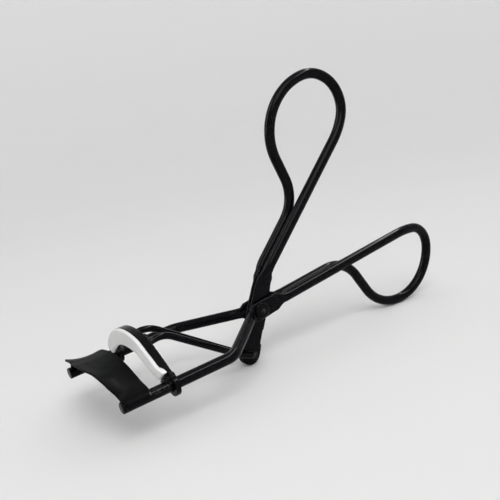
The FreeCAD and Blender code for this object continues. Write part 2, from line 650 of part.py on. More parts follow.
def stand_placement():
    """Tilt and lift that stand the tool on its lever arms and on the finger loop's last arc."""
    straight, *arcs, reverse_radius = FRAME_LOOP
    heading = 0.0
    u, v = straight, 0.0
    for radius, degrees in arcs:
        center_u = u - radius * math.sin(heading)
        center_v = v + radius * math.cos(heading)
        heading += math.radians(degrees)
        u = center_u + radius * math.sin(heading)
        v = center_v - radius * math.cos(heading)
    along = Vector(math.cos(FRAME_ANGLE), 0, math.sin(FRAME_ANGLE))
    across = Vector(-math.sin(FRAME_ANGLE), 0, math.cos(FRAME_ANGLE))
    loop_center = along * center_u + across * (S["frame_line"] - center_v)
    loop_radius = arcs[-1][0] + WIRE
    between = loop_center - ARM_HOLE
    reach = math.hypot(between.x, between.z)
    tilt = math.asin((S["arm_end"] - loop_radius) / reach) - math.atan2(-between.z, between.x)
    turn = Rotation(Vector(0, 1, 0), math.degrees(tilt))
    lift = S["arm_end"] - turn.multVec(ARM_HOLE).z
    return Placement(Vector(-S["middle"], 0, lift), turn)


pieces = [
    shaped("frame_wire", frame_wire()),
    shaped("lever_wire", lever_wire()),
    shaped("near_push_rod", push_rod(-1)),
    shaped("far_push_rod", push_rod(1)),
    shaped("curling_plate", curling_plate()),
    slide_bar(),
    lash_pad(),
    pivot_rivet(),
]
stand = stand_placement()
for piece in pieces:
    piece.Placement = stand
doc.recompute()

for item in doc.Objects:
    if "Invalid" in item.State or "Error" in item.State:
        raise RuntimeError(item.Name + " failed: " + str(item.State))
for piece in pieces:
    if piece.Shape.isNull() or not piece.Shape.isValid():
        raise RuntimeError(piece.Name + " has no valid shape")
    print(piece.Name, round(piece.Shape.Volume, 2), len(piece.Shape.Solids), piece.Shape.BoundBox)
print("stand", stand.Base, math.degrees(stand.Rotation.Angle), stand.Rotation.Axis)

os.makedirs("parts", exist_ok=True)
for piece in pieces:
    piece.Label = piece.Name
    piece.Shape.exportStep("parts/" + piece.Label + ".step")
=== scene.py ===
import json
import math

import bmesh
import bpy
from mathutils import Matrix, Vector


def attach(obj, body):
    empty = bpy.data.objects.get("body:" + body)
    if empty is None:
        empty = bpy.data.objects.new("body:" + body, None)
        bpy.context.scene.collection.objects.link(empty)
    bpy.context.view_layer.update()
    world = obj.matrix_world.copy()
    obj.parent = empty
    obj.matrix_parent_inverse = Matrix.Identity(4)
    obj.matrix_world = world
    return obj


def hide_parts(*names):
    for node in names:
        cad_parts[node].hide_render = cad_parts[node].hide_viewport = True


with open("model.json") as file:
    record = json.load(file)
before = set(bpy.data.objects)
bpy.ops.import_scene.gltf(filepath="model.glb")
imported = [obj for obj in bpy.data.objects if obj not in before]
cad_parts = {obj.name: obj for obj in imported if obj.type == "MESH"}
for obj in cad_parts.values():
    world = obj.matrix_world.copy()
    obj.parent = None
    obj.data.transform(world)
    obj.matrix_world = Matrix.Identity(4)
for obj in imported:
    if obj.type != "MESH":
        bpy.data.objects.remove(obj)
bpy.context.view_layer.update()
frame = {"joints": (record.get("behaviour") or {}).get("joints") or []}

# Eyelash curler. Shapes are given in the mechanism frame, in millimetres: the origin is on
# the rivet's axis, +X runs along the guide rods towards the handles, +Y away from the near
# side and +Z up from the rods. A side is -1 for the near half and 1 for the far half.

MM = 0.001
JOINTS = {joint["name"]: joint for joint in frame["joints"]}
ORIGIN = Vector(JOINTS["lever_hinge"]["pos_m"])
AXIS_X = -Vector(JOINTS["pad_slide"]["axis"]).normalized()
AXIS_Y = Vector((0, 1, 0))
AXIS_Z = AXIS_X.cross(AXIS_Y)

# Radii of the wires and the rivet's shank, and the places that several pieces share: the
# guide rods' axes and front ends, and the push rods' front ends in the slide bar.
WIRE = 1.345
PUSH = 0.83
SHANK = 1.1
ROD_Y, ROD_Z = 14.55, -2.04
ROD_FRONT = -46.1
LINK_Y, LINK_Z = 4.2, 4.95

# Radius of the lever's bore, and the radial clearances round the push rods' hooks, the guide
# rods and the push rods' front ends.
LEVER_BORE = 1.15
HOOK_GAP = 0.05
EYE_GAP = 0.1
LINK_GAP = 0.45

# Spacing along a wire, points round the sections, steps of a rounded end, and the degrees
# above which an edge is sharp.
STEP = 0.25
RING = 28
PUSH_RING = 22
CIRCLE = 48
ROUND_STEPS = 4
SHARP = 40


def in_row(point):
    """A point of the mechanism frame, in the row frame's metres."""
    return ORIGIN + (AXIS_X * point.x + AXIS_Y * point.y + AXIS_Z * point.z) * MM


def smooth(t):
    t = min(max(t, 0.0), 1.0)
    return t * t * (3 - 2 * t)


def keyed(keys, q):
    """Value at q between (q, value) keys, eased from one to the next."""
    if q <= keys[0][0]:
        return keys[0][1]
    for (q_a, v_a), (q_b, v_b) in zip(keys, keys[1:]):
        if q <= q_b:
            return v_a + (v_b - v_a) * smooth((q - q_a) / (q_b - q_a))
    return keys[-1][1]


def around(count):
    """Evenly spaced angles of a full turn."""
    return [2 * math.pi * k / count for k in range(count)]


# ---------------------------------------------------------------- meshes

def shaded(mesh, sharp_degrees):
    """Smooth shading, broken where faces meet at more than an angle."""
    mesh.polygons.foreach_set("use_smooth", [True] * len(mesh.polygons))
    mesh.set_sharp_from_angle(angle=math.radians(sharp_degrees))


def piece_from(name, bm, sharp_degrees=SHARP):
    """An object from a bmesh in mechanism millimetres."""
    bmesh.ops.recalc_face_normals(bm, faces=bm.faces)
    for vert in bm.verts:
        vert.co = in_row(vert.co)
    mesh = bpy.data.meshes.new(name)
    bm.to_mesh(mesh)
    bm.free()
    shaded(mesh, sharp_degrees)
    piece = bpy.data.objects.new(name, mesh)
    bpy.context.scene.collection.objects.link(piece)
    return piece


def bridged(bm, row, following):
    """Quads between two closed rings of vertices."""
    count = len(row)
    for k in range(count):
        after = (k + 1) % count
        bm.faces.new((row[k], row[after], following[after], following[k]))


def loft(bm, rings):
    """Quads between rings of points, with a cap at each end."""
    rows = [[bm.verts.new(point) for point in ring] for ring in rings]
    for row, following in zip(rows, rows[1:]):
        bridged(bm, row, following)
    bm.faces.new(rows[0])
    bm.faces.new(list(reversed(rows[-1])))


def baked(piece):
    """Apply a piece's modifiers to its mesh."""
    bpy.context.view_layer.update()
    evaluated = piece.evaluated_get(bpy.context.evaluated_depsgraph_get())
    mesh = bpy.data.meshes.new_from_object(evaluated)
    piece.modifiers.clear()
    old = piece.data
    piece.data = mesh
    bpy.data.meshes.remove(old)


def bored(piece, cylinders):
    """Cut round holes: cylinders are (start, end, radius) in mechanism millimetres."""
    for start, end, radius in cylinders:
        bm = bmesh.new()
        along = (end - start).normalized()
        across = along.orthogonal().normalized()
        upright = along.cross(across)
        rings = []
        for center in (start, end):
            rings.append([center + (across * math.cos(a) + upright * math.sin(a)) * radius
                          for a in around(CIRCLE)])
        loft(bm, rings)
        tool = piece_from("tool", bm)
        cut = piece.modifiers.new("bore", "BOOLEAN")
        cut.operation = "DIFFERENCE"
        cut.solver = "EXACT"
        cut.object = tool
        baked(piece)
        bpy.data.objects.remove(tool)
    shaded(piece.data, SHARP)


# ---------------------------------------------------------------- wires

def rounded(corners, radii):
    """Dense points along straight runs through the corners, with an arc at each inner corner."""
    points = [corners[0].copy()]
    for before, corner, after, radius in zip(corners, corners[1:], corners[2:], radii):
        back = (before - corner).normalized()
        ahead = (after - corner).normalized()
        half_turn = (math.pi - back.angle(ahead)) / 2
        reach = radius * math.tan(half_turn)
        center = corner + (back + ahead).normalized() * (radius / math.cos(half_turn))
        start = corner + back * reach - center
        end = corner + ahead * reach - center
        axis = start.cross(end).normalized()
        steps = max(2, math.ceil(2 * half_turn * radius / STEP))
        for k in range(steps + 1):
            points.append(center + Matrix.Rotation(2 * half_turn * k / steps, 3, axis) @ start)
    points.append(corners[-1].copy())
    return points


def arc_lengths(points):
    lengths = [0.0]
    for a, b in zip(points, points[1:]):
        lengths.append(lengths[-1] + (b - a).length)
    return lengths


def evened(points, passes):
    """The same line at even spacing, eased so that its bends begin gently."""
    lengths = arc_lengths(points)
    count = math.ceil(lengths[-1] / STEP)
    even = []
    index = 0
    for k in range(count + 1):
        s = lengths[-1] * k / count
        while index < len(points) - 2 and lengths[index + 1] < s:
            index += 1
        span = lengths[index + 1] - lengths[index]
        share = (s - lengths[index]) / span if span else 0
        even.append(points[index].lerp(points[index + 1], share))
    for _ in range(passes):
        between = [(a + b * 2 + c) / 4 for a, b, c in zip(even, even[1:], even[2:])]
        even = [even[0], *between, even[-1]]
    return even


def finer_ends(points, passes):
    """The same line with closer points near both ends, for the round ends of a flat."""
    for _ in range(passes):
        refined = []
        for index, (a, b) in enumerate(zip(points, points[1:])):
            refined.append(a)
            if index < 6 or index > len(points) - 8:
                refined.append((a + b) / 2)
        points = refined + [points[-1]]
    return points


def nearest(points, target):
    return min(range(len(points)), key=lambda k: (points[k] - target).length)


def from_rivet(points, pitch):
    """Distance of each point along the wire from the rivet: more than 0 on the handle's side,
    less on the side of the wire's ends. The wire passes the rivet at y = -pitch and y = pitch."""
    lengths = arc_lengths(points)
    s_near = lengths[nearest(points, Vector((0, -pitch, 0)))]
    s_far = lengths[nearest(points, Vector((0, pitch, 0)))]
    return [min(s - s_near, s_far - s) for s in lengths]


def stadium(center, wide, thick, half_wide, half_thick, count=RING):
    """Section of a wire: round, or squashed to a flat with round sides."""
    corner = min(half_wide, half_thick)
    ring = []
    for k in range(count):
        angle = 2 * math.pi * (k + 0.5) / count
        c, s = math.cos(angle), math.sin(angle)
        u = math.copysign(half_wide - corner, c) + corner * c
        v = math.copysign(half_thick - corner, s) + corner * s
        ring.append(center + wide * u + thick * v)
    return ring


def cut_end(point, outward, wide, thick, half_wide, half_thick, bevel, count=RING):
    """Sections that round off a wire's cut end, the outermost last."""
    rings = []
    for step in range(ROUND_STEPS + 1):
        angle = math.pi / 2 * step / ROUND_STEPS
        inset = bevel * (1 - math.cos(angle))
        center = point + outward * (bevel * (math.sin(angle) - 1))
        rings.append(stadium(center, wide, thick, half_wide - inset, half_thick - inset, count))
    return rings


def tangent_at(points, k):
    return (points[min(k + 1, len(points) - 1)] - points[max(k - 1, 0)]).normalized()


def swept(bm, points, section, end_bevels):
    """A wire along the points; section(k) gives half width and half thickness. end_bevels are
    the rounding radii of its two cut ends."""
    rings = []
    last = len(points) - 1
    for k, point in enumerate(points):
        tangent = tangent_at(points, k)
        thick = (AXIS_Y - tangent * tangent.y).normalized()
        wide = tangent.cross(thick)
        size = section(k)
        if k == 0:
            rings += reversed(cut_end(point, -tangent, wide, thick, *size, end_bevels[0]))
        elif k == last:
            rings += cut_end(point, tangent, wide, thick, *size, end_bevels[1])
        else:
            rings.append(stadium(point, wide, thick, *size))
    loft(bm, rings)


# A handle's loop in its own plane: the straight run, (radius, degrees) of each arc, and the
# radius of the reverse bend that leads back to the other strand.
FINGER_LOOP = (50.4, (23.4, 15.3), (7.25, 83.3), (13.0, 147.9), 10.6)
THUMB_LOOP = (48.2, (21.2, 18.2), (8.65, 126.1), (14.7, 99.7), 10.2)
CORNER_DEGREES = 50


def loop_corners(loop, angle, line, half_pitch, bulge):
    """Corners and radii of a handle, from its near strand round to its far strand. It leans
    by an angle, line is its distance from the rivet, and it bulges up (1) or down (-1)."""
    straight, *arcs, reverse_radius = loop
    flat = []
    radii = []
    heading = 0.0
    here = Vector((straight, 0))
    for radius, degrees in arcs:
        steps = math.ceil(degrees / CORNER_DEGREES)
        turn = math.radians(degrees / steps)
        reach = radius * math.tan(turn / 2)
        for _ in range(steps):
            corner = here + Vector((math.cos(heading), math.sin(heading))) * reach
            heading += turn
            here = corner + Vector((math.cos(heading), math.sin(heading))) * reach
            flat.append(corner)
            radii.append(radius)
    run_back = -here.y / math.sin(heading)
    flat.append(Vector((here.x + run_back * math.cos(heading), 0)))
    radii.append(reverse_radius)
    along = Vector((math.cos(angle), 0, math.sin(angle)))
    across = Vector((-math.sin(angle), 0, math.cos(angle)))
    corners = []
    for index, (u, v) in enumerate(flat):
        share = min(max(index / (len(flat) - 2), 0.0), 1.0)
        side = half_pitch * (2 * share - 1)
        corners.append(along * u + across * (line + bulge * v) + Vector((0, side, 0)))
    return corners, radii


def mirrored(points):
    return [Vector((p.x, -p.y, p.z)) for p in reversed(points)]


FRAME_ANGLE = math.radians(5.5)
FRAME_Y = 1.725
LEVER_ANGLE = math.radians(43.9)
LEVER_Y = 0.625
FLAT = 0.475
ARM_ANGLE = math.radians(25.35)
ARM_AXIS = Vector((-math.sin(ARM_ANGLE), 0, -math.cos(ARM_ANGLE)))
ARM_HOLE = ARM_AXIS * 11.67
ARM_END = 2.83
THINNEST = 0.05

# Half width and half thickness of the two wires, by distance from the rivet.
FRAME_WIDE = ((-5.2, WIRE), (-3.9, 1.42), (-2.3, 2.42), (0.0, 2.5), (4.6, 2.3), (7.4, 1.34),
              (8.0, WIRE))
FRAME_THICK = ((-6.4, WIRE), (-4.4, 0.86), (-2.9, FLAT), (5.6, FLAT), (7.0, 0.8), (9.2, WIRE))
LEVER_WIDE = ((-10.4, ARM_END), (-9.0, 2.72), (-8.7, 2.32), (-5.2, 2.34), (-4.9, 2.62),
              (0.0, 2.72), (4.3, 2.45), (8.0, 2.12), (10.2, 1.4), (11.4, WIRE))
LEVER_THICK = ((-9.1, FLAT), (-8.7, 0.62), (-5.2, 0.62), (-4.8, FLAT), (6.8, FLAT),
               (8.4, 0.75), (11.2, WIRE))


def frame_wire():
    """Both guide rods, the flats at the rivet and the finger loop, as one bent wire."""
    direction = Vector((math.cos(FRAME_ANGLE), 0, math.sin(FRAME_ANGLE)))
    near = [
        Vector((ROD_FRONT, -ROD_Y, ROD_Z)),
        Vector((-17.4, -ROD_Y, ROD_Z)),
        Vector((-2.7, -FRAME_Y, -0.27)),
        direction * 5.6 + Vector((0, -FRAME_Y, 0)),
        direction * 9.0 + Vector((0, -1.35, -0.2)),
    ]
    near_radii = [5.0, 2.6, 6.0, 8.0]
    loop, loop_radii = loop_corners(FINGER_LOOP, FRAME_ANGLE, line=-0.2, half_pitch=1.35,
                                    bulge=-1)
    far = mirrored(near)
    far[-1] += Vector((-0.45, -0.05, -0.2))  # the far rod ends a little further forward
    radii = near_radii + loop_radii + near_radii[::-1]
    points = evened(rounded(near + loop + far, radii), passes=3)
    along = from_rivet(points, FRAME_Y)

    def section(k):
        return keyed(FRAME_WIDE, along[k]), keyed(FRAME_THICK, along[k])

    bm = bmesh.new()
    swept(bm, points, section, end_bevels=(0.35, 0.12))
    piece = piece_from("frame_wire_coated", bm)
    bored(piece, [(Vector((0, -4, 0)), Vector((0, 4, 0)), SHANK)])
    return piece


def lever_wire():
    """The thumb loop, the flats at the rivet and the two arms, as one bent wire."""
    kink = Vector((4.6, 0, 9.7))
    arm_tip = ARM_AXIS * (ARM_HOLE.length + ARM_END - 0.01)
    near = [
        arm_tip + Vector((0, -LEVER_Y, 0)),
        kink * 0.62 + Vector((0, -LEVER_Y, 0)),
        kink + Vector((0, -1.6, 0)),
    ]
    near_radii = [6.0, 7.0]
    loop, loop_radii = loop_corners(THUMB_LOOP, LEVER_ANGLE, line=3.78, half_pitch=1.73,
                                    bulge=1)
    radii = near_radii + loop_radii + near_radii[::-1]
    points = evened(rounded(near + loop + mirrored(near), radii), passes=3)
    points = finer_ends(points, passes=3)
    along = from_rivet(points, LEVER_Y)
    hole = ARM_HOLE.length

    def section(k):
        q = along[k]
        wide, thick = keyed(LEVER_WIDE, q), keyed(LEVER_THICK, q)
        if q < -hole:
            past = min(-q - hole, ARM_END)
            wide = max(math.sqrt(ARM_END ** 2 - past ** 2), THINNEST)
            left = ARM_END - past
            if left < thick:
                thick = max(math.sqrt(thick ** 2 - (thick - left) ** 2), THINNEST)
        return wide, thick

    bm = bmesh.new()
    swept(bm, points, section, end_bevels=(0.0, 0.0))
    piece = piece_from("lever_wire_coated", bm)
    across = Vector((0, 4, 0))
    bored(piece, [(-across, across, LEVER_BORE),
                  (ARM_HOLE - across, ARM_HOLE + across, PUSH + HOOK_GAP)])
    return piece


def push_rod(side, name):
    """One push rod, from its hook in a lever arm to its end in the slide bar."""
    arm_side = 2.0
    bend_x = -32.1
    bevel = 0.18
    slope = (LINK_Y - arm_side) / (ARM_HOLE.x - bend_x)

    def at(x, z):
        return Vector((x, side * (arm_side + slope * (ARM_HOLE.x - x)), z))

    corners = [
        Vector((ARM_HOLE.x, side * 0.2, ARM_HOLE.z)),
        at(ARM_HOLE.x, ARM_HOLE.z),
        at(-8.9, -8.65),
        at(-28.4, 5.35),
        at(bend_x, LINK_Z),
        Vector((-33.6, side * LINK_Y, LINK_Z)),
    ]
    points = evened(rounded(corners, [0.95, 6.0, 7.0, 2.5]), passes=1)
    bm = bmesh.new()
    rings = []
    last = len(points) - 1
    wide = Vector((0, 0, 1))
    for k, point in enumerate(points):
        tangent = tangent_at(points, k)
        wide = (wide - tangent * wide.dot(tangent)).normalized()
        thick = tangent.cross(wide)
        if k == 0:
            rings += reversed(cut_end(point, -tangent, wide, thick, PUSH, PUSH, bevel, PUSH_RING))
        elif k == last:
            rings += cut_end(point, tangent, wide, thick, PUSH, PUSH, bevel, PUSH_RING)
        else:
            rings.append(stadium(point, wide, thick, PUSH, PUSH, PUSH_RING))
    loft(bm, rings)
    return piece_from(name, bm)


# ---------------------------------------------------------------- head

# The bar's arch: radius and centre height of its outer and inner side, the height of its
# feet, its back and front, and half the width of the head.
BAR_OUT, BAR_OUT_Z = 18.4, -10.35
BAR_IN, BAR_IN_Z = 16.3, -12.3
BAR_FOOT = -1.15
BAR_BACK, BAR_FRONT = -33.3, -35.4
HEAD_HALF = 15
ARCH_STEPS = 96


def bow(y):
    """How far the head curves back towards its ends."""
    return 0.65 * (y / HEAD_HALF) ** 2


def arch_point(radius, center_z, t, foot=BAR_FOOT):
    """Point (y, z) of an arch at t from -1 at the near foot to 1 at the far foot. Its near
    leg is sunk inwards, and its middle leans to the far side."""
    half = math.asin(math.sqrt(radius ** 2 - (foot - center_z) ** 2) / radius)
    sunk = 0.65 * smooth((-t - 0.3) / 0.35) * smooth((1.02 + t) / 0.22)
    lean = 0.4 * (1 - t ** 4)
    radius -= sunk
    return radius * math.sin(half * t) + lean, center_z + radius * math.cos(half * t)


def arch_band(bm, outer, inner, x_front, x_back):
    """A closed band between two arches, each (radius, centre height)."""
    rings = []
    for k in range(ARCH_STEPS + 1):
        t = 2 * k / ARCH_STEPS - 1
        y_out, z_out = arch_point(*outer, t)
        y_in, z_in = arch_point(*inner, t)
        shift_out, shift_in = bow(y_out), bow(y_in)
        rings.append([
            Vector((x_front + shift_out, y_out, z_out)),
            Vector((x_back + shift_out, y_out, z_out)),
            Vector((x_back + shift_in, y_in, z_in)),
            Vector((x_front + shift_in, y_in, z_in)),
        ])
    loft(bm, rings)


def disc(bm, y, z, radius, x_front, x_back):
    rings = []
    for x in (x_front, x_back):
        rings.append([Vector((x, y + radius * math.sin(a), z + radius * math.cos(a)))
                      for a in around(CIRCLE)])
    loft(bm, rings)


def prism(bm, side, outline, x_front, x_back):
    """A block between two x values, with an outline of (y, z) on one side."""
    loft(bm, [[Vector((x, side * y, z)) for y, z in outline] for x in (x_front, x_back)])


def fused(piece, voxel, passes):
    """Join a piece's overlapping solids and round their edges."""
    remesh = piece.modifiers.new("fuse", "REMESH")
    remesh.mode = "VOXEL"
    remesh.voxel_size = voxel * MM
    smoothing = piece.modifiers.new("round", "SMOOTH")
    smoothing.factor = 0.5
    smoothing.iterations = passes
    baked(piece)


# The slide bar's channel, eyes, bosses, necks between arch and eyes, feet over the rods, and
# the reach of the cutters for its bores.
WALL = 0.55
WEB = 0.8
EYE_RADIUS, EYE_FRONT, EYE_BACK = 2.6, -34.1, -32.9
BOSS_FRONT, BOSS_BACK = -33.7, -32.65
NECK = [(13.2, 0.9), (15.3, 0.9), (16.6, -1.4), (12.9, -1.2)]
FOOT = [(12.8, -0.95), (14.0, -0.05), (14.9, 0.45), (15.5, 0.1), (15.5, -0.85), (13.2, -1.1)]
FOOT_BACK = -33.5
BORE_FRONT, BORE_BACK = -38, -30


def slide_bar():
    """Arched channel with an eye on each guide rod and a boss round each push rod."""
    bm = bmesh.new()
    outer, inner = (BAR_OUT, BAR_OUT_Z), (BAR_IN, BAR_IN_Z)
    arch_band(bm, outer, inner, BAR_BACK - WEB, BAR_BACK)
    arch_band(bm, outer, (BAR_OUT - WALL, BAR_OUT_Z), BAR_FRONT, BAR_BACK)
    arch_band(bm, (BAR_IN + WALL, BAR_IN_Z), inner, BAR_FRONT, BAR_BACK)
    for side, boss, toe in ((-1, 2.3, -35.65), (1, 1.95, -35.1)):
        disc(bm, side * ROD_Y, ROD_Z, EYE_RADIUS, EYE_FRONT, EYE_BACK)
        disc(bm, side * LINK_Y, LINK_Z, boss, BOSS_FRONT, BOSS_BACK)
        prism(bm, side, NECK, EYE_FRONT, EYE_BACK)
        prism(bm, side, FOOT, toe, FOOT_BACK)
    piece = piece_from("slide_bar_coated", bm)
    fused(piece, voxel=0.1, passes=4)
    bores = []
    for side in (-1, 1):
        for y, z, radius in ((ROD_Y, ROD_Z, WIRE + EYE_GAP), (LINK_Y, LINK_Z, PUSH + LINK_GAP)):
            bores.append((Vector((BORE_FRONT, side * y, z)), Vector((BORE_BACK, side * y, z)),
                          radius))
    bored(piece, bores)
    return piece


# The pad in x: its face, the bar's rim and the bottom of its root. Then its gap and depth in
# the channel, and the rounding of its face.
PAD_FACE, PAD_RIM, PAD_DEEP = -36.14, BAR_FRONT - 0.01, -34.12
PAD_INSET = 0.05
PAD_ROOT = 0.6
PAD_EDGE = 0.42
PAD_STEPS = 140
PAD_ROUND_STEPS = 5


def lash_pad():
    """Silicone strip: a root in the channel and a rounded head over its rims, with a lobe at
    the near end."""
    rings = []
    for k in range(PAD_STEPS + 1):
        t = 2 * k / PAD_STEPS - 1
        y_out, z_out = arch_point(BAR_OUT - PAD_INSET, BAR_OUT_Z, t, 0.95 if t < 0 else 0.2)
        y_in, z_in = arch_point(BAR_IN + PAD_INSET, BAR_IN_Z, t, -0.9)
        y_in += 0.5 * math.copysign(smooth((abs(t) - 0.7) / 0.3), t)
        outer, inner = Vector((0, y_out, z_out)), Vector((0, y_in, z_in))
        up = (outer - inner).normalized()
        flare = 0.95 * min(1, max(0, (-t - 0.88) / 0.12))
        back = 0.3 * min(1, flare / 0.4)
        step_up = min(0.1, 0.5 * flare)
        high = outer + up * flare
        end = smooth((abs(t) - 0.975) / 0.025)
        tuck = (0.22 if t < 0 else 0.4) * end * end
        ring = []

        def put(base, x, offset):
            point = base + up * offset
            point.x = x + bow(point.y)
            ring.append(point)

        def put_rounding(base, inward):
            for step in range(PAD_ROUND_STEPS + 1):
                a = math.pi / 2 * step / PAD_ROUND_STEPS
                put(base, PAD_FACE + PAD_EDGE * (1 - math.sin(a)) + tuck,
                    inward * (PAD_EDGE * (1 - math.cos(a)) + tuck))

        put_rounding(high, -1)
        ring.reverse()
        put(high, PAD_RIM + back, -tuck)
        put(outer, PAD_RIM + back + 0.001, step_up)
        put(outer, PAD_RIM + 0.001, step_up - 0.002)
        put(outer, PAD_RIM + 0.002, -PAD_ROOT)
        put(outer, PAD_DEEP, -PAD_ROOT)
        put(inner, PAD_DEEP, PAD_ROOT)
        put(inner, PAD_RIM + 0.002, PAD_ROOT)
        put(inner, PAD_RIM, tuck)
        put_rounding(inner, 1)
        rings.append(ring)
    bm = bmesh.new()
    loft(bm, rings)
    return piece_from("lash_pad_silicone", bm, sharp_degrees=50)


# The plate's sheet, thinner at its laps over the rods; how much lower its far side sits, by
# y; the depth of its hollow; the steps of each stretch of its edges; its columns from rear to
# front; and the degrees above which its edges are sharp.
PLATE_THICK = 0.5
LAP_THICK = 0.35
PLATE_DROP = ((0.0, 0.1), (4.5, 0.55), (9.0, 1.1), (12.0, 1.15))
HOLLOW = 0.53
LAP_STEPS = 12
BRIDGE_STEPS = 11
SPAN_STEPS = 34
PLATE_COLUMNS = 22
PLATE_SHARP = 60


def plate_edge(front, y):
    """Top of the curling plate's front or rear edge at y. The far side sits a little lower."""
    u = (y / HEAD_HALF) ** 2
    drop = keyed(PLATE_DROP, y) if y > 0 else 0.1 * smooth(1 + y / 4)
    if front:
        x = -48.57 + 2.22 * u + 0.44 * u * u - 0.3 * smooth((abs(y) - 7) / 4)
        height = 4.89 + 1.13 * u - 2.54 * u ** 2 - 4.81 * u ** 3 - drop
        return Vector((x, y, height))
    x = -39.98 - 0.63 * u + 1.53 * u * u
    return Vector((x, y, 4.72 - 2.9 * u - 3.0 * u * u - 0.6 * drop))


def plate_line(front, side):
    """Half of one edge, from its lap over a rod to the middle, as (point, thickness)."""
    lap_radius = WIRE + LAP_THICK
    lap_end, lap_start = -39.35, -39.25
    if front:
        lap_end, lap_start = (-45.3, -45.5) if side > 0 else (-44.9, -45.95)
    lap = []
    for step in range(LAP_STEPS + 1):
        share = step / LAP_STEPS
        a = math.radians(80 - share * 70)
        lap.append(Vector((lap_end + (lap_start - lap_end) * share,
                           side * (ROD_Y + lap_radius * math.sin(a)),
                           ROD_Z + lap_radius * math.cos(a))))
    joint = lap[-1]
    leave = Vector((0, -side * math.cos(math.radians(40)), math.sin(math.radians(40))))
    notched = front and side > 0
    meet_y = side * (11.0 if notched else 12.7)
    meet = plate_edge(front, meet_y)
    if notched:
        ahead = Vector((-1.1, -1.35, 1.55)).normalized()
    else:
        ahead = (plate_edge(front, meet_y - 0.2 * side) - meet).normalized()
    span = (meet - joint).length
    bridge = []
    for step in range(1, BRIDGE_STEPS):
        t = step / BRIDGE_STEPS
        bridge.append(joint * (2 * t ** 3 - 3 * t ** 2 + 1)
                      + leave * (span * (t ** 3 - 2 * t ** 2 + t))
                      + meet * (-2 * t ** 3 + 3 * t ** 2)
                      + ahead * (span * (t ** 3 - t ** 2)))
    arch = [plate_edge(front, meet_y * (1 - step / SPAN_STEPS)) for step in range(SPAN_STEPS + 1)]
    gain = PLATE_THICK - LAP_THICK
    line = [(p, LAP_THICK) for p in lap]
    line += [(p, LAP_THICK + gain * (k + 1) / BRIDGE_STEPS) for k, p in enumerate(bridge)]
    line += [(p, PLATE_THICK) for p in arch]
    return line


def plate_rows():
    """Rows of (point, thickness) from rear to front edge, from the near lap to the far lap."""
    rows = []
    for side in (-1, 1):
        half = []
        for (rear, depth), (fore, _) in zip(plate_line(False, side), plate_line(True, side)):
            row = []
            for column in range(PLATE_COLUMNS + 1):
                s = column / PLATE_COLUMNS
                point = rear.lerp(fore, s)
                point.z -= HOLLOW * 4 * s * (1 - s) * smooth((14.2 - abs(rear.y)) / 3.2)
                row.append((point, depth))
            half.append(row)
        rows = half if side < 0 else rows + half[::-1][1:]
    return rows


def curling_plate():
    """Arched sheet with a hollow between its edges, whose ends lap over the guide rods."""
    rows = plate_rows()
    last_row, last_col = len(rows) - 1, PLATE_COLUMNS
    bm = bmesh.new()
    top, low = [], []
    for i, row in enumerate(rows):
        top_row, low_row = [], []
        for j, (point, depth) in enumerate(row):
            along = rows[min(i + 1, last_row)][j][0] - rows[max(i - 1, 0)][j][0]
            across = row[min(j + 1, last_col)][0] - row[max(j - 1, 0)][0]
            normal = across.cross(along).normalized()
            if normal.z < 0 and abs(point.y) < HEAD_HALF:
                normal.negate()
            outward = Vector((0, math.copysign(1, point.y), 0))
            if abs(point.y) >= HEAD_HALF and normal.dot(outward) < 0:
                normal.negate()
            top_row.append(bm.verts.new(point))
            low_row.append(bm.verts.new(point - normal * depth))
        top.append(top_row)
        low.append(low_row)
    for i in range(last_row):
        for j in range(last_col):
            bm.faces.new((top[i][j], top[i][j + 1], top[i + 1][j + 1], top[i + 1][j]))
            bm.faces.new((low[i][j], low[i + 1][j], low[i + 1][j + 1], low[i][j + 1]))
        for j in (0, last_col):
            bm.faces.new((top[i][j], top[i + 1][j], low[i + 1][j], low[i][j]))
    for i in (0, last_row):
        for j in range(last_col):
            bm.faces.new((top[i][j], top[i][j + 1], low[i][j + 1], low[i][j]))
    piece = piece_from("curling_plate_coated", bm, PLATE_SHARP)
    bevel = piece.modifiers.new("edges", "BEVEL")
    bevel.width = 0.11 * MM
    bevel.segments = 3
    bevel.limit_method = "ANGLE"
    bevel.angle_limit = math.radians(50)
    baked(piece)
    shaded(piece.data, PLATE_SHARP)
    return piece


def pivot_rivet():
    """Shank and two low domed heads with a turned rim."""
    grip, head, dome = 2.2, 2.15, 0.8
    rim = 0.26
    sweep, sweep_sine = 0.86, 0.976
    dome_steps = 8
    profile = [
        (SHANK, 0.0),
        (SHANK, grip + 0.01),
        (head - 0.12, grip + 0.01),
        (head - 0.03, grip + 0.05),
        (head, grip + 0.14),
        (head - 0.04, grip + rim),
    ]
    for step in range(1, dome_steps + 1):
        a = step / dome_steps * math.pi / 2 * sweep
        profile.append(((head - 0.04) * math.cos(a),
                        grip + rim + (dome - rim) * math.sin(a) / sweep_sine))
    profile.append((0.3, grip + dome + 0.005))
    line = [(r, -y) for r, y in reversed(profile)] + profile[1:]
    rings = []
    for r, y in line:
        rings.append([Vector((r * math.cos(a), y, r * math.sin(a))) for a in around(CIRCLE)])
    bm = bmesh.new()
    loft(bm, rings)
    return piece_from("pivot_rivet_coated", bm, sharp_degrees=50)


# ---------------------------------------------------------------- materials

# Sockets of a Mix node that mixes colours.
MIX_A, MIX_B, MIX_RESULT = 6, 7, 2


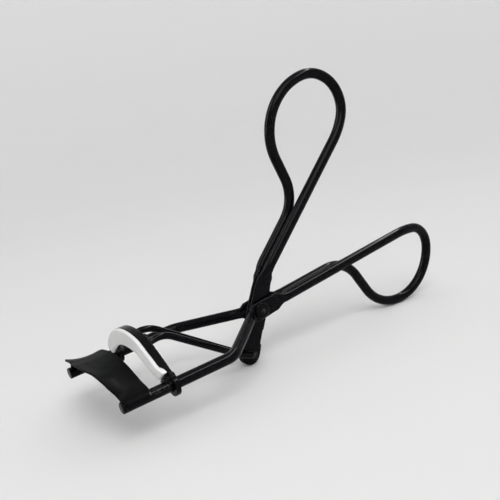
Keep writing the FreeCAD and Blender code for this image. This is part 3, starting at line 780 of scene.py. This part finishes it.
class Nodes:
    """A material's node tree, with short calls to add and join nodes. Lengths are in mm."""

    def __init__(self, name):
        self.material = bpy.data.materials.new(name)
        self.material.use_nodes = True
        self.tree = self.material.node_tree
        self.shader = self.tree.nodes["Principled BSDF"]
        coordinates = self.tree.nodes.new("ShaderNodeTexCoord")
        scale = self.tree.nodes.new("ShaderNodeVectorMath")
        scale.operation = "SCALE"
        scale.inputs["Scale"].default_value = 1 / MM
        self.join(coordinates.outputs["Object"], scale.inputs[0])
        self.point = scale.outputs[0]

    def join(self, output, socket):
        self.tree.links.new(output, socket)

    def noise(self, per_mm, detail=3, roughness=0.5):
        node = self.tree.nodes.new("ShaderNodeTexNoise")
        node.inputs["Scale"].default_value = per_mm
        node.inputs["Detail"].default_value = detail
        node.inputs["Roughness"].default_value = roughness
        self.join(self.point, node.inputs["Vector"])
        return node.outputs["Fac"]

    def ramp(self, source, low, high, to_low, to_high):
        """The source's range from low to high, moved to another range."""
        node = self.tree.nodes.new("ShaderNodeMapRange")
        node.data_type = "FLOAT"
        node.inputs["From Min"].default_value = low
        node.inputs["From Max"].default_value = high
        node.inputs["To Min"].default_value = to_low
        node.inputs["To Max"].default_value = to_high
        self.join(source, node.inputs["Value"])
        return node.outputs["Result"]

    def math(self, operation, a, b):
        node = self.tree.nodes.new("ShaderNodeMath")
        node.operation = operation
        for socket, value in zip(node.inputs, (a, b)):
            if isinstance(value, (int, float)):
                socket.default_value = value
            else:
                self.join(value, socket)
        return node.outputs[0]

    def mix(self, factor, color_a, color_b):
        node = self.tree.nodes.new("ShaderNodeMix")
        node.data_type = "RGBA"
        self.join(factor, node.inputs["Factor"])
        for socket, value in ((node.inputs[MIX_A], color_a), (node.inputs[MIX_B], color_b)):
            if isinstance(value, tuple):
                socket.default_value = (*value, 1)
            else:
                self.join(value, socket)
        return node.outputs[MIX_RESULT]

    def attribute(self, name):
        node = self.tree.nodes.new("ShaderNodeAttribute")
        node.attribute_name = name
        return node.outputs["Fac"]

    def bump(self, layers, distance_mm):
        """Bump layers as (height, strength), one over the other."""
        normal = None
        for height, strength in layers:
            node = self.tree.nodes.new("ShaderNodeBump")
            node.inputs["Strength"].default_value = strength
            node.inputs["Distance"].default_value = distance_mm * MM
            self.join(height, node.inputs["Height"])
            if normal is not None:
                self.join(normal, node.inputs["Normal"])
            normal = node.outputs["Normal"]
        self.join(normal, self.shader.inputs["Normal"])

    def set(self, **values):
        """Plain values of the shader's inputs, named with _ for a space."""
        for name, value in values.items():
            self.shader.inputs[name.replace("_", " ")].default_value = value


DUST = (0.09, 0.088, 0.085)
# Colour of rubbed paint, also used for painted highlights.
RUBBED_AND_SHEEN = (0.20, 0.185, 0.17)
SILICONE_LIGHT, SILICONE_DARK = (0.76, 0.758, 0.75), (0.70, 0.695, 0.688)
GRIME = (0.62, 0.58, 0.55)
# Backdrop colour near the tool and far from it; the far colour is lighter as painted light on the
# wall.
BACKDROP_NEAR, BACKDROP_FAR = (0.735, 0.735, 0.732), (0.93, 0.93, 0.932)
BACKDROP_GRAIN = (1, 1, 1)


def coated(name, tone, roughness, coat, peel):
    """Black paint over steel: fine orange peel, cloudy gloss, dust specks, and lighter spots of
    rubbed paint and painted highlights.
    """
    n = Nodes(name)
    cloud = n.noise(0.35, 3)
    speck = n.noise(7.0, 2)
    base = n.mix(n.ramp(cloud, 0.35, 0.65, 0, 1), tone, tuple(c * 1.5 for c in tone))
    base = n.mix(n.ramp(speck, 0.78, 0.88, 0, 0.15), base, DUST)
    # Lighter where the paint is rubbed, and where highlights are painted on as colour.
    rub_and_sheen = n.math("MULTIPLY", n.attribute("rub_and_sheen"), n.ramp(n.noise(2.2, 4, 0.65), 0.42, 0.62, 0, 1))
    n.join(n.mix(rub_and_sheen, base, RUBBED_AND_SHEEN), n.shader.inputs["Base Color"])
    gloss = n.ramp(n.noise(0.9, 4), 0.3, 0.7, roughness - 0.05, roughness + 0.08)
    n.join(n.math("ADD", gloss, n.math("MULTIPLY", rub_and_sheen, 0.15)), n.shader.inputs["Roughness"])
    n.set(IOR=1.1, Coat_Weight=coat, Coat_Roughness=0.08, Coat_IOR=1.28)
    n.bump([(n.noise(1.0, 2), peel), (n.noise(6.0, 3), peel * 0.2), (speck, 0.01)],
           distance_mm=0.02)
    return n.material


def silicone():
    """White translucent rubber with a faint moulding texture."""
    n = Nodes("white_silicone_soft")
    cloud = n.noise(0.25, 2)
    base = n.mix(n.ramp(cloud, 0.3, 0.7, 0, 1), SILICONE_LIGHT, SILICONE_DARK)
    grime = n.ramp(n.noise(3.0, 3), 0.66, 0.8, 0, 0.22)
    n.join(n.mix(grime, base, GRIME), n.shader.inputs["Base Color"])
    n.join(n.ramp(n.noise(1.2, 3), 0.3, 0.7, 0.42, 0.55), n.shader.inputs["Roughness"])
    n.set(Subsurface_Weight=0.35, Subsurface_Radius=(1.0, 0.85, 0.75), Subsurface_Scale=0.0012)
    n.bump([(n.noise(4.0, 3), 0.12), (n.noise(14.0, 2), 0.06)], distance_mm=0.03)
    return n.material


def paper():
    """Pale seamless backdrop with a faint grain, painted lighter far from the tool as the light
    on its wall.
    """
    n = Nodes("pale_backdrop")
    radius = n.tree.nodes.new("ShaderNodeVectorMath")
    radius.operation = "LENGTH"
    n.join(n.point, radius.inputs[0])
    # Painted light: the paper grows lighter away from the tool, in place of light on the far
    # floor and wall.
    rise = n.ramp(radius.outputs["Value"], 250, 1300, 0, 1)
    base = n.mix(rise, BACKDROP_NEAR, BACKDROP_FAR)
    base = n.mix(n.ramp(n.noise(0.02, 3), 0.3, 0.7, 0, 0.03), base, BACKDROP_GRAIN)
    n.join(base, n.shader.inputs["Base Color"])
    n.set(Roughness=0.85, Specular_IOR_Level=0.2)
    n.bump([(n.noise(1.5, 3), 0.04)], distance_mm=0.03)
    return n.material


def mark_rub_and_sheen(piece, spots):
    """Mark lighter spots of rubbed paint and painted highlights: spots are (point, radius,
    amount) in millimetres.
    """
    mesh = piece.data
    marks = mesh.attributes.new("rub_and_sheen", "FLOAT", "POINT")
    places = [(in_row(point), radius * MM, amount) for point, radius, amount in spots]
    values = []
    for vert in mesh.vertices:
        value = 0.0
        for place, radius, amount in places:
            value = max(value, amount * (1 - smooth((vert.co - place).length / radius)))
        values.append(value)
    marks.data.foreach_set("value", values)


# ---------------------------------------------------------------- assembly

COAT = coated("black_coat_paint", (0.0012, 0.0010, 0.0017),
              roughness=0.22, coat=0.27, peel=0.035)
PLATE = coated("black_plate_paint", (0.0014, 0.0015, 0.0018),
               roughness=0.42, coat=0.02, peel=0.04)
RIVET = coated("black_rivet_paint", (0.0013, 0.0012, 0.0017),
               roughness=0.24, coat=0.3, peel=0.035)
SILICONE = silicone()

# Lighter spots: rubbed paint at the rods' front ends, the arms' holes, the push rods at the bar
# and the bar's crown; a painted highlight streak with rubbed paint along the near rod beside the
# plate;
# a painted highlight on the plate's near lap; plain lighter spots on its front edge and the
# rivet.
FRAME_SPOTS = [(Vector((ROD_FRONT, -ROD_Y, ROD_Z)), 1.3, 0.4),
               (Vector((ROD_FRONT, ROD_Y, ROD_Z)), 1.0, 0.1)]
# Painted highlight streak, with rubbed paint, on the upper outer side of the near rod.
FRAME_SPOTS += [(Vector((x, -15.5, -1.3)), 1.0, 0.2) for x in (-38.4, -37.4, -36.4, -35.4)]
LEVER_SPOTS = [(ARM_HOLE + Vector((0, y, 0)), 1.9, 0.5) for y in (-1.1, 1.1)]
NEAR_PUSH_SPOTS = [(Vector((-32.0, -LINK_Y, 5.4)), 1.4, 0.4)]
FAR_PUSH_SPOTS = [(Vector((-32.0, LINK_Y, 5.4)), 1.4, 0.4)]
# The first spot is a painted highlight on the plate's near lap; the second is a lighter spot on
# its front edge.
PLATE_SPOTS = [(Vector((-39.3, -15.8, -1.1)), 0.7, 1.0), (Vector((-48.4, 3.0, 4.9)), 1.2, 0.2)]
BAR_SPOTS = [(Vector((-34.6, -13.5, 2.1)), 1.2, 0.6), (Vector((-34.0, 13.2, 2.8)), 1.4, 0.4)]
RIVET_SPOTS = [(Vector((0, y, 0)), 0.9, 0.4) for y in (-3.0, 3.0)]

PIECES = [
    (frame_wire(), "frame", "frame_wire", "black_coat", COAT, FRAME_SPOTS),
    (lever_wire(), "lever", "lever_wire", "black_coat", COAT, LEVER_SPOTS),
    (push_rod(-1, "near_push_rod_coated"), "near_pusher", "near_push_rod", "black_coat", COAT,
     NEAR_PUSH_SPOTS),
    (push_rod(1, "far_push_rod_coated"), "far_pusher", "far_push_rod", "black_coat", COAT,
     FAR_PUSH_SPOTS),
    (curling_plate(), "frame", "curling_plate", "black_plate", PLATE, PLATE_SPOTS),
    (slide_bar(), "slide", "slide_bar", "black_coat", COAT, BAR_SPOTS),
    (lash_pad(), "slide", "lash_pad", "white_silicone", SILICONE, None),
    (pivot_rivet(), "frame", "pivot_rivet", "black_rivet", RIVET, RIVET_SPOTS),
]
for piece, body, node, slot, material, spots in PIECES:
    piece.data.materials.clear()
    piece.data.materials.append(material)
    if spots is not None:
        mark_rub_and_sheen(piece, spots)
    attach(piece, body)
    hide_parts(node)

# ---------------------------------------------------------------- floor, light and camera

# The backdrop in metres: a flat disc, a quarter curve and an upright wall, turned round Z.
FLOOR_FLAT, FLOOR_CURVE, FLOOR_WALL = 0.4, 1.7, 0.6
FLAT_STEPS, CURVE_STEPS, FLOOR_AROUND = 12, 16, 96


def backdrop():
    profile = [(FLOOR_FLAT * k / FLAT_STEPS, 0.0) for k in range(1, FLAT_STEPS + 1)]
    for k in range(1, CURVE_STEPS + 1):
        a = math.pi / 2 * k / CURVE_STEPS
        profile.append((FLOOR_FLAT + FLOOR_CURVE * math.sin(a), FLOOR_CURVE * (1 - math.cos(a))))
    profile.append((FLOOR_FLAT + FLOOR_CURVE, FLOOR_CURVE + FLOOR_WALL))
    bm = bmesh.new()
    rings = [[bm.verts.new((r * math.cos(a), r * math.sin(a), z)) for a in around(FLOOR_AROUND)]
             for r, z in profile]
    bm.faces.new(rings[0])
    for ring, following in zip(rings, rings[1:]):
        bridged(bm, ring, following)
    bmesh.ops.recalc_face_normals(bm, faces=bm.faces)
    mesh = bpy.data.meshes.new("floor")
    bm.to_mesh(mesh)
    bm.free()
    mesh.polygons.foreach_set("use_smooth", [True] * len(mesh.polygons))
    mesh.materials.append(paper())
    floor = bpy.data.objects.new("floor", mesh)
    bpy.context.scene.collection.objects.link(floor)
    return floor


backdrop()


def softbox(name, place, target, size, watts, sheen_only=False):
    """A rectangular light. One that is sheen_only adds reflections, and no light on the floor."""
    light = bpy.data.lights.new(name, "AREA")
    light.shape = "RECTANGLE"
    light.size, light.size_y = size
    light.energy = watts
    lamp = bpy.data.objects.new(name, light)
    lamp.location = place
    lamp.visible_diffuse = not sheen_only
    lamp.rotation_mode = "QUATERNION"
    lamp.rotation_quaternion = (Vector(target) - Vector(place)).to_track_quat("-Z", "Y")
    bpy.context.scene.collection.objects.link(lamp)


softbox("front_softbox", (-0.24, -0.50, 0.70), (-0.02, 0, 0), size=(0.62, 0.62), watts=4.3)
softbox("top_strip", (0.40, -0.12, 0.75), (0, 0, 0.02), size=(1.2, 0.08), watts=5.5,
        sheen_only=True)
softbox("left_strip", (-0.60, 0.34, 0.34), (0, 0, 0.03), size=(0.08, 0.9), watts=4.4,
        sheen_only=True)

world = bpy.data.worlds.new("studio")
world.use_nodes = True
sky = world.node_tree.nodes["Background"]
sky.inputs["Color"].default_value = (1, 1, 1, 1)
sky.inputs["Strength"].default_value = 0.75
bpy.context.scene.world = world
bpy.context.scene.view_settings.view_transform = "Standard"

camera = bpy.data.cameras.new("camera")
camera.lens = 52.35
camera.sensor_width = 36
camera.clip_start = 0.01
camera.clip_end = 20
view = bpy.data.objects.new("camera", camera)
view.location = (-0.10202, -0.14895, 0.07324)
view.rotation_euler = (1.32408, 0.14159, -0.60301)
bpy.context.scene.collection.objects.link(view)
bpy.context.scene.camera = view
